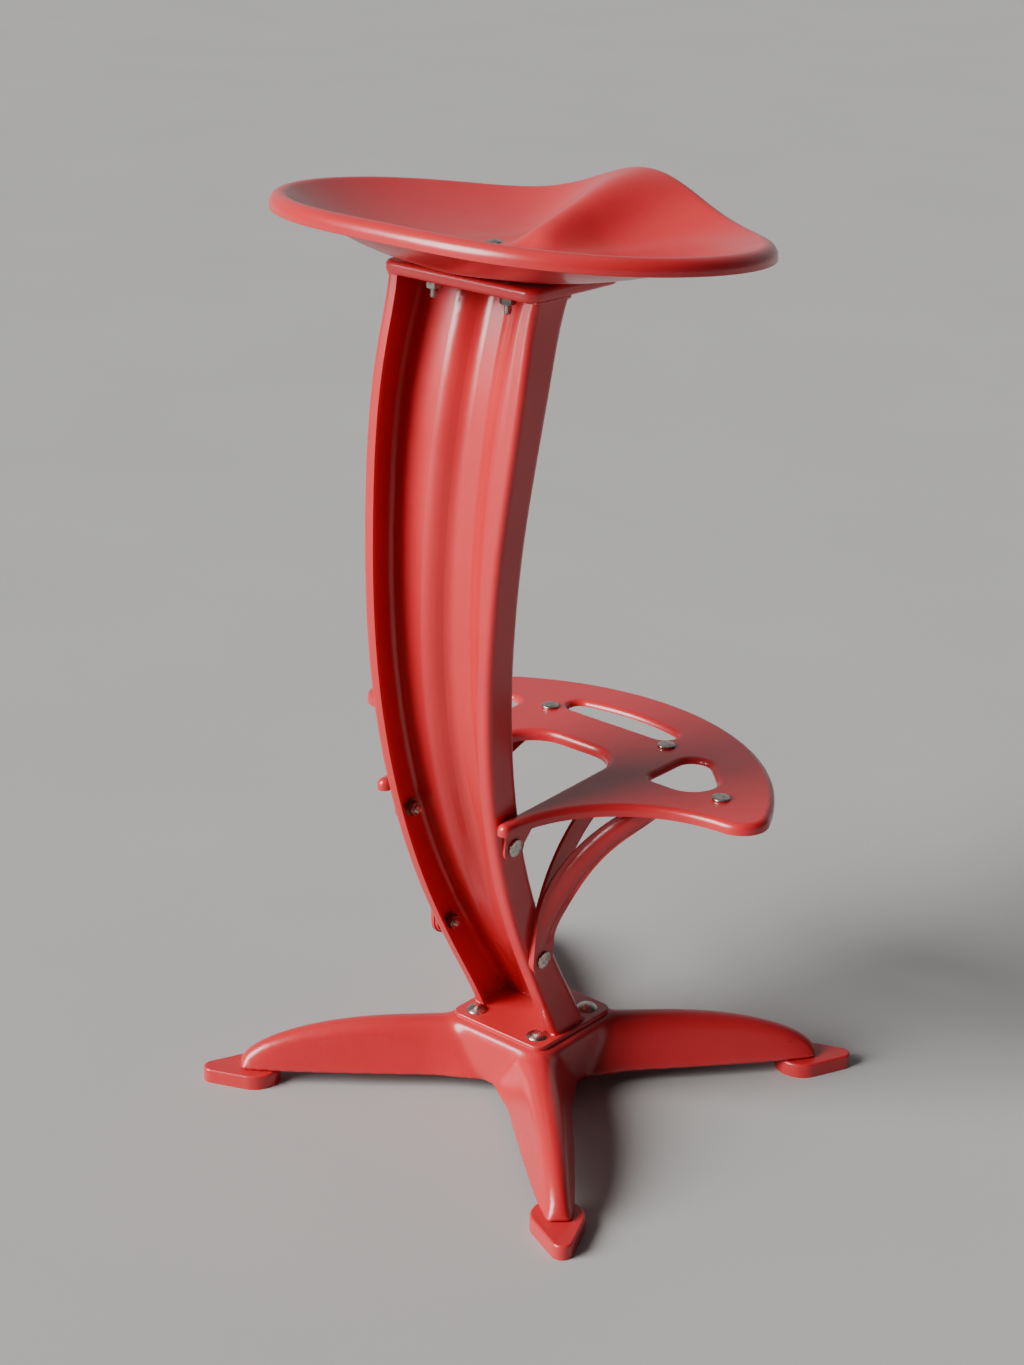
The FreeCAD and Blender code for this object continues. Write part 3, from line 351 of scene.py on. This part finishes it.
# Fasteners
def domed_head(diameter, height):
    """A round head cut from a ball, with its rim broken."""
    ball = (diameter**2 / 4 + height**2) / (2 * height)
    bpy.ops.mesh.primitive_uv_sphere_add(
        segments=48, ring_count=64, radius=ball, location=(0, 0, height - ball)
    )
    head = bpy.context.object
    settle(head)
    bpy.ops.object.mode_set(mode="EDIT")
    bpy.ops.mesh.select_all(action="SELECT")
    bpy.ops.mesh.bisect(plane_co=(0, 0, 0), plane_no=(0, 0, 1), use_fill=True, clear_inner=True)
    bpy.ops.mesh.bevel(offset=0.0004, segments=2, affect="EDGES")
    bpy.ops.object.mode_set(mode="OBJECT")
    return head


def low_head(diameter, height):
    """A flat disc head with a rounded rim and a slight crown in two steps."""
    bpy.ops.mesh.primitive_cylinder_add(
        vertices=48, radius=diameter / 2, depth=height, location=(0, 0, height / 2)
    )
    head = bpy.context.object
    settle(head)
    bpy.ops.object.mode_set(mode="EDIT")
    bpy.ops.mesh.select_all(action="DESELECT")
    bpy.ops.object.mode_set(mode="OBJECT")
    for face in head.data.polygons:
        face.select = face.normal.z > 0.9
    bpy.ops.object.mode_set(mode="EDIT")
    for crown in (0.16, 0.1):
        bpy.ops.mesh.inset(thickness=diameter * 0.14)
        bpy.ops.transform.translate(value=(0, 0, height * crown))
    bpy.ops.mesh.select_all(action="DESELECT")
    bpy.ops.mesh.edges_select_sharp(sharpness=math.radians(50))
    bpy.ops.mesh.bevel(offset=height * 0.3, segments=3, affect="EDGES")
    bpy.ops.object.mode_set(mode="OBJECT")
    return head


def thread_ridge(diameter, pitch, low, turns):
    """The raised helix of a thread: a small triangle wound up round the shank."""
    reach = pitch * 0.54
    bpy.ops.mesh.primitive_circle_add(
        vertices=3,
        radius=reach,
        fill_type="NOTHING",
        location=(diameter / 2 - reach, 0, low),
        rotation=(math.pi / 2, math.pi / 2, 0),
    )
    ridge = bpy.context.object
    settle(ridge)
    apply_modifier(
        ridge,
        "SCREW",
        axis="Z",
        screw_offset=pitch,
        iterations=turns,
        steps=24,
        render_steps=24,
        angle=math.tau,
    )
    bpy.ops.object.mode_set(mode="EDIT")
    bpy.ops.mesh.select_all(action="SELECT")
    bpy.ops.mesh.fill_holes(sides=3)
    bpy.ops.mesh.normals_make_consistent(inside=False)
    bpy.ops.object.mode_set(mode="OBJECT")
    return ridge


def threaded_bolt(head, diameter, pitch, length, turns):
    """A head at the origin, on a shank whose lower end is threaded and chamfered."""
    core = diameter / 2 - pitch * 0.42
    overlap = 0.0002
    bpy.ops.mesh.primitive_cylinder_add(
        vertices=32, radius=core, depth=length + 2 * overlap, location=(0, 0, overlap - length / 2)
    )
    shank = bpy.context.object
    settle(shank)
    bpy.ops.object.mode_set(mode="EDIT")
    bpy.ops.mesh.select_all(action="DESELECT")
    bpy.ops.mesh.edges_select_sharp(sharpness=math.radians(60))
    bpy.ops.mesh.bevel(offset=pitch * 0.4, segments=1, affect="EDGES")
    bpy.ops.object.mode_set(mode="OBJECT")
    ridge = thread_ridge(diameter, pitch, pitch * 0.6 - length, turns)
    bolt = join_pieces([head, shank, ridge])
    bpy.ops.object.shade_smooth_by_angle(angle=math.radians(32))
    return bolt


def hexagon_nut(flats, bore, height):
    """A six-sided nut with turned corners, hanging below the origin.

    It is cut in millimetres, because cuts in a mesh this small fail, and then scaled down.
    """
    wide = flats * 1000
    tall = height * 1000
    bpy.ops.mesh.primitive_cylinder_add(
        vertices=6,
        radius=wide / math.sqrt(3),
        depth=tall,
        location=(0, 0, -tall / 2),
        rotation=(0, 0, math.pi / 6),
    )
    nut = bpy.context.object
    settle(nut)
    turned_face = 0.485 * wide
    corner_slope = 1.732
    reach = 1.5 * tall
    above = 0.02
    middle = (above - reach) / 2
    for place, turn in ((middle, 0), (-tall - middle, math.pi)):
        bpy.ops.mesh.primitive_cone_add(
            vertices=64,
            radius1=turned_face + corner_slope * reach,
            radius2=turned_face - 0.035,
            depth=reach + above,
            location=(0, 0, place),
            rotation=(turn, 0, 0),
        )
        cone = bpy.context.object
        settle(cone)
        cut_with(nut, cone, "INTERSECT")
    bpy.ops.mesh.primitive_cylinder_add(
        vertices=32, radius=bore * 500 + 0.1, depth=tall * 3, location=(0, 0, -tall / 2)
    )
    drill = bpy.context.object
    cut_with(nut, drill, "DIFFERENCE")
    nut.scale = (0.001, 0.001, 0.001)
    settle(nut)
    bpy.ops.object.shade_smooth_by_angle(angle=math.radians(25))
    return nut


def set_out(pattern, node, slot, places, drop):
    """Copies one modelled fastener to every place of a set and shows them instead of the CAD node."""
    copies = []
    for count, (spot, way) in enumerate(places):
        copy = pattern.copy()
        copy.data = pattern.data.copy()
        twist = Matrix.Rotation(math.radians(NEXT_TURN * count + FIRST_TURN), 4, "Z")
        turn = Vector(UPWARDS).rotation_difference(Vector(way)).to_matrix().to_4x4()
        copy.data.transform(
            Matrix.Translation(Vector(spot)) @ turn @ Matrix.Translation((0, 0, -drop)) @ twist
        )
        bpy.context.scene.collection.objects.link(copy)
        copies.append(copy)
    piece = join_pieces(copies)
    piece.name = node + "_dressed"
    finish_piece(piece, slot, node)


def add_fasteners():
    """Models each kind of nut and bolt once and sets it out over the stool."""
    small_nut = hexagon_nut(SMALL_NUT_FLATS, SMALL_BOLT, SMALL_NUT_HEIGHT)
    base_nut = hexagon_nut(BASE_NUT_FLATS, BASE_BOLT, BASE_NUT_HEIGHT)
    seat_head = domed_head(SMALL_HEAD, SMALL_DOME)
    seat_bolt = threaded_bolt(seat_head, SMALL_BOLT, SMALL_PITCH, SEAT_BOLT_LENGTH, 10)
    base_head = domed_head(BASE_HEAD, BASE_DOME)
    base_bolt = threaded_bolt(base_head, BASE_BOLT, BASE_PITCH, BASE_BOLT_LENGTH, 7)
    footrest_head = low_head(SMALL_HEAD, SMALL_LOW_HEAD)
    footrest_bolt = threaded_bolt(footrest_head, SMALL_BOLT, SMALL_PITCH, FOOTREST_BOLT_LENGTH, 7)
    strut_head = low_head(SMALL_HEAD, SMALL_LOW_HEAD)
    strut_bolt = threaded_bolt(strut_head, SMALL_BOLT, SMALL_PITCH, STRUT_BOLT_LENGTH, 7)
    set_out(small_nut, "seat_nuts", "nut_steel", SEAT_BOLTS, SEAT_NUT_DROP)
    set_out(base_nut, "base_nuts", "nut_steel", BASE_BOLTS, BASE_NUT_DROP)
    set_out(small_nut, "footrest_nuts", "nut_steel", FOOTREST_BOLTS, FOOTREST_NUT_DROP)
    set_out(small_nut, "arm_nuts", "nut_steel", ARM_BOLTS, FOOTREST_NUT_DROP)
    set_out(small_nut, "strut_nuts", "nut_steel", STRUT_BOLTS, STRUT_NUT_DROP)
    set_out(seat_bolt, "seat_bolts", "bolt_steel", SEAT_BOLTS, 0)
    set_out(base_bolt, "base_bolts", "bolt_steel", BASE_BOLTS, 0)
    set_out(footrest_bolt, "footrest_bolts", "bolt_steel", FOOTREST_BOLTS, 0)
    set_out(footrest_bolt, "arm_bolts", "bolt_steel", ARM_BOLTS, 0)
    set_out(strut_bolt, "strut_bolts", "bolt_steel", STRUT_BOLTS, 0)
    for pattern in (small_nut, base_nut, seat_bolt, base_bolt, footrest_bolt, strut_bolt):
        bpy.data.objects.remove(pattern)


# Seat
def fraction(value):
    return min(1, max(0, value))


def ease(value):
    """A soft step from 0 to 1."""
    share = fraction(value)
    return share * share * (3 - 2 * share)


def ridge_height(reach, run, ahead):
    """How far the pommel's ridge stands up at a distance from the middle and an angle from the front."""
    way = fraction((reach - RIDGE_START) / (run - RIDGE_START))
    crest = POMMEL_RISE * (1 - (1 - way) ** RIDGE_FALL) + RIDGE_SWELL * way * way * (1 - way)
    crest *= ease(way / RIDGE_ONSET)
    narrow = RIDGE_WIDTH + RIDGE_FLARE * max(0, reach - RIDGE_FLARE_START)
    spread = run * POMMEL_SPREAD - RIDGE_WIDTH - RIDGE_FLARE * (run - RIDGE_FLARE_START)
    wide = narrow + spread * (max(0, reach - RIDGE_OPENS_AT) / (run - RIDGE_OPENS_AT)) ** 2
    return crest * math.exp(-((ahead * reach / wide) ** 2))


def seat_profile(angle):
    """One radial cut through the seat sheet, from the middle over the rim and back underneath.

    The angle is measured from the rear. The pommel's crest runs as a ridge far into the bowl.
    """
    tilt = math.cos(angle)
    saddle = math.cos(2 * angle)
    ahead = abs(angle) - math.pi
    pommel = math.exp(-((ahead / POMMEL_SPREAD) ** 2))
    radius = RIM_RADIUS - RIM_SHIFT * tilt - RIM_OVAL * saddle - RIM_DRAW_IN * pommel
    bowl_rise = BOWL_RISE + BOWL_RISE_TILT * tilt - BOWL_RISE_SADDLE * saddle
    rise = bowl_rise + POMMEL_RISE * pommel
    power = BOWL_POWER - BOWL_POWER_TILT * tilt - BOWL_POWER_SADDLE * saddle
    bowl_slope = power * bowl_rise / (radius - BOWL_START)
    slope = math.atan(bowl_slope - RIDGE_SWELL * pommel / (radius - RIDGE_START))
    run = radius - RIM_ROLL * math.sin(slope)
    lowered = 1 - RIM_ROLL * (1 - math.cos(slope)) / rise
    upper = []
    for step in range(1, BOWL_STEPS + 1):
        reach = run * step / BOWL_STEPS
        bowl = max(0, (reach - BOWL_START) / (run - BOWL_START)) ** power
        flat = FLAT_LIFT * ease((FLAT_EDGE - reach) / FLAT_BLEND)
        upper.append((reach, lowered * (bowl_rise * bowl + ridge_height(reach, run, ahead)) + flat))
    lower = [(POLE_GAP, -SEAT_SHEET)]
    for before, after in zip(upper, upper[1:]):
        lean = math.atan2(after[1] - before[1], after[0] - before[0])
        lower.append((before[0] + SEAT_SHEET * math.sin(lean), before[1] - SEAT_SHEET * math.cos(lean)))
    outer_roll = []
    inner_roll = []
    roll_middle = rise - RIM_ROLL
    inner = RIM_ROLL - SEAT_SHEET
    for step in range(1, ROLL_STEPS + 1):
        turn = (math.pi / 2 + slope) * (1 - step / ROLL_STEPS)
        outer_roll.append((radius + RIM_ROLL * math.cos(turn), roll_middle + RIM_ROLL * math.sin(turn)))
        inner_roll.append((radius + inner * math.cos(turn), roll_middle + inner * math.sin(turn)))
    outside = radius + RIM_ROLL
    inside = outside - SEAT_SHEET
    foot = roll_middle - RIM_DROP
    lip = [
        (outside, foot + RIM_EDGE_ROUND),
        (outside - RIM_EDGE_ROUND, foot),
        (inside + RIM_EDGE_ROUND, foot),
        (inside, foot + RIM_EDGE_ROUND),
    ]
    return upper + outer_roll + lip + inner_roll[::-1] + lower[::-1]


def add_seat():
    """The pressed saddle seat, drawn as rings of radial cuts."""
    mesh = bmesh.new()
    rings = []
    for column in range(SEAT_COLUMNS):
        angle = math.tau * column / SEAT_COLUMNS - math.pi
        ring = []
        for reach, height in seat_profile(angle):
            place = (reach * math.sin(angle), SEAT_MIDDLE + reach * math.cos(angle), SEAT_TOP + height)
            ring.append(mesh.verts.new([part / 1000 for part in place]))
        rings.append(ring)
    middle = mesh.verts.new((0, SEAT_MIDDLE / 1000, (SEAT_TOP + FLAT_LIFT) / 1000))
    for ring, following in zip(rings, rings[1:] + rings[:1]):
        mesh.faces.new((middle, ring[0], following[0]))
        for index in range(len(ring) - 1):
            mesh.faces.new((ring[index], ring[index + 1], following[index + 1], following[index]))
    bmesh.ops.remove_doubles(mesh, verts=mesh.verts, dist=0.000002)
    bmesh.ops.recalc_face_normals(mesh, faces=mesh.faces)
    data = bpy.data.meshes.new("seat_shell")
    mesh.to_mesh(data)
    mesh.free()
    seat = bpy.data.objects.new("seat_shell", data)
    bpy.context.scene.collection.objects.link(seat)
    select_only(seat)
    bpy.ops.object.shade_smooth_by_angle(angle=math.radians(40))
    finish_piece(seat, "red_enamel", "seat_pan")


# Base casting
def add_casting():
    """The cast base with the soft hollow blends between hub and legs that a casting has."""
    node = frame["nodes"]["base_star"]
    casting = node.copy()
    casting.data = node.data.copy()
    casting.name = "base_casting"
    bpy.context.scene.collection.objects.link(casting)
    place = node.matrix_world.copy()
    casting.parent = None
    casting.matrix_world = place
    settle(casting)
    merge_points(casting, 0.00002)
    apply_modifier(casting, "REMESH", mode="VOXEL", voxel_size=CASTING_GRAIN, use_smooth_shade=True)
    blend = casting.vertex_groups.new(name="blend")
    for vertex in casting.data.vertices:
        x, y, z = vertex.co
        near = fraction((BLEND_REACH - math.hypot(x, y)) / BLEND_FADE)
        side = fraction((max(abs(x), abs(y)) - HUB_SIDE) / HUB_FADE)
        under = fraction((z - HUB_UNDER) / HUB_FADE)
        crown = fraction((HUB_CROWN - z) / CROWN_FADE)
        blend.add([vertex.index], near * side * under * crown, "REPLACE")
    apply_modifier(casting, "SMOOTH", factor=0.5, iterations=BLEND_ROUNDS, vertex_group="blend")
    apply_modifier(casting, "SMOOTH", factor=0.5, iterations=SKIN_ROUNDS)
    finish_piece(casting, "red_enamel_casting", "base_star")


# Weld seams
def weld_seam(name, half_path, height, radius):
    """A painted weld bead along the column's end, mirrored about the middle, with a rippled skin."""
    path = [(-x, y) for x, y in half_path] + [(x, y) for x, y in reversed(half_path)]
    data = bpy.data.curves.new(name, "CURVE")
    data.dimensions = "3D"
    spline = data.splines.new("NURBS")
    spline.points.add(len(path) - 1)
    for point, (x, y) in zip(spline.points, path):
        point.co = (x, y, height, 1)
    spline.order_u = 3
    spline.use_endpoint_u = True
    data.resolution_u = 14
    data.bevel_depth = radius
    data.bevel_resolution = 5
    data.use_fill_caps = True
    seam = bpy.data.objects.new(name, data)
    bpy.context.scene.collection.objects.link(seam)
    select_only(seam)
    bpy.ops.object.convert(target="MESH")
    seam = bpy.context.object
    merge_points(seam, 0.00001)
    ripple = bpy.data.textures.new(name + "_ripple", "CLOUDS")
    ripple.noise_scale = 0.0045
    apply_modifier(seam, "DISPLACE", texture=ripple, texture_coords="LOCAL", strength=0.0016, mid_level=0.5)
    bpy.ops.object.shade_smooth()
    seam.data.materials.append(SLOT_MATERIALS["red_enamel"])
    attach(seam, "root")


def add_weld_seams():
    """The seams that hold the column to its base plate and to the cap plate."""
    foot = [(0.0345, 0.0222), (0.0405, 0.0222), (0.0440, 0.0222), (0.0440, 0.0180)]
    foot += [(0.0440, 0.0060), (0.0440, -0.0110), (0.0440, -0.0166), (0.0380, -0.0166), (0.0160, -0.0174)]
    weld_seam("foot_weld", foot, 0.0624, 0.0021)
    top = [(0.0630, 0.1100), (0.0690, 0.1100), (0.0724, 0.1100), (0.0724, 0.1050)]
    top += [(0.0724, 0.0900), (0.0724, 0.0760), (0.0724, 0.0711), (0.0670, 0.0711), (0.0380, 0.0711)]
    top += [(0.0270, 0.0711), (0.0130, 0.0581), (0.0060, 0.0581)]
    weld_seam("cap_weld", top, 0.7121, 0.0018)


# Floor and light
def add_floor():
    material, nodes, links, shader = new_material("floor_look")
    grain = add_noise(nodes, links, 2.5, 6)
    tone = add_ramp(nodes, links, grain, 0, (0.38, 0.38, 0.375), 1, (0.42, 0.42, 0.415))
    links.new(tone, shader.inputs["Base Color"])
    shader.inputs["Roughness"].default_value = 0.75
    bpy.ops.mesh.primitive_plane_add(size=60, location=(0, 0, 0))
    floor = bpy.context.object
    floor.name = "floor"
    floor.data.materials.append(material)


def place_light(name, data, place, aim):
    light = bpy.data.objects.new(name, data)
    light.matrix_world = Matrix.Translation(place) @ aim.to_track_quat("-Z", "Y").to_matrix().to_4x4()
    bpy.context.scene.collection.objects.link(light)


def add_lights():
    """A broad low light from a window behind the stool, and a weak one from the ceiling."""
    window = bpy.data.lights.new("window_light", "SUN")
    window.energy = WINDOW_STRENGTH
    window.angle = WINDOW_SPREAD
    window.color = (1, 0.985, 0.965)
    place_light("window_light", window, Vector((0, 0, 0)), WINDOW_AIM)
    ceiling = bpy.data.lights.new("ceiling_light", "AREA")
    ceiling.shape = "DISK"
    ceiling.size = CEILING_SIZE
    ceiling.energy = CEILING_POWER
    ceiling.color = (0.97, 0.985, 1)
    place_light("ceiling_light", ceiling, CEILING_PLACE, CEILING_TARGET - CEILING_PLACE)


def add_surroundings():
    """Dim surroundings that are pale on the side which the seat and the footrest mirror."""
    world = bpy.data.worlds.new("world")
    world.use_nodes = True
    nodes = world.node_tree.nodes
    links = world.node_tree.links
    background = nodes["Background"]
    background.inputs["Color"].default_value = (0.86, 0.87, 0.88, 1)
    direction = nodes.new("ShaderNodeTexCoord")
    pale_side = nodes.new("ShaderNodeVectorMath")
    pale_side.operation = "DOT_PRODUCT"
    pale_side.inputs[1].default_value = PALE_SIDE
    links.new(direction.outputs["Generated"], pale_side.inputs[0])
    glow = nodes.new("ShaderNodeMapRange")
    glow.inputs["From Min"].default_value = PALE_SIDE_START
    glow.inputs["To Min"].default_value = DIM_STRENGTH
    glow.inputs["To Max"].default_value = PALE_STRENGTH
    links.new(pale_side.outputs["Value"], glow.inputs["Value"])
    links.new(glow.outputs["Result"], background.inputs["Strength"])
    bpy.context.scene.world = world


dress_nodes()
add_seat()
add_casting()
add_fasteners()
add_weld_seams()
add_camera()
add_floor()
add_lights()
add_surroundings()
